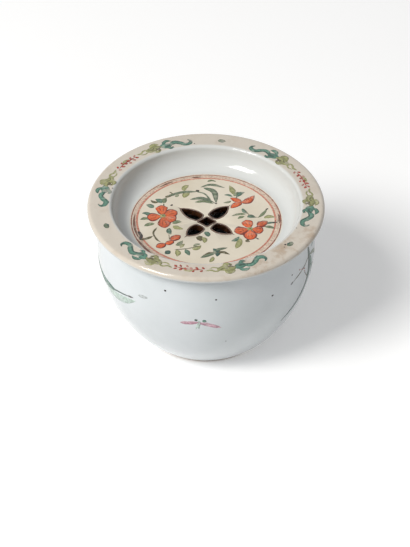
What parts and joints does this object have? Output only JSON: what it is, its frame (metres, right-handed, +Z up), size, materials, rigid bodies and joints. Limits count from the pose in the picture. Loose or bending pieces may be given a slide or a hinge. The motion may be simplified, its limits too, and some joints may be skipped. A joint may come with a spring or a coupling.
{
  "type": "cricket box",
  "caption": "Round glazed porcelain box with a dished, pierced cover that rests on its mouth and lifts off by hand.",
  "frame": {"origin": "middle of the foot ring, on the surface that the box stands on", "axes": "+Z up along the axis that the box was turned about; -Y is the front that faces the picture's camera; +X to the right in that view"},
  "size_m": [0.11, 0.11, 0.073],
  "materials": {
    "box_porcelain": "gloss glaze with overglaze enamels, unglazed foot ring",
    "cover_porcelain": "gloss glaze with overglaze enamels"
  },
  "bodies": {
    "box": {"box": "box_porcelain"},
    "cover": {"cover": "cover_porcelain"}
  },
  "joints": [
    {"name": "cover_lift", "type": "slide", "parent": "box", "child": "cover", "axis": [0, 0, 1], "range_m": [0, 0.06]}
  ]
}
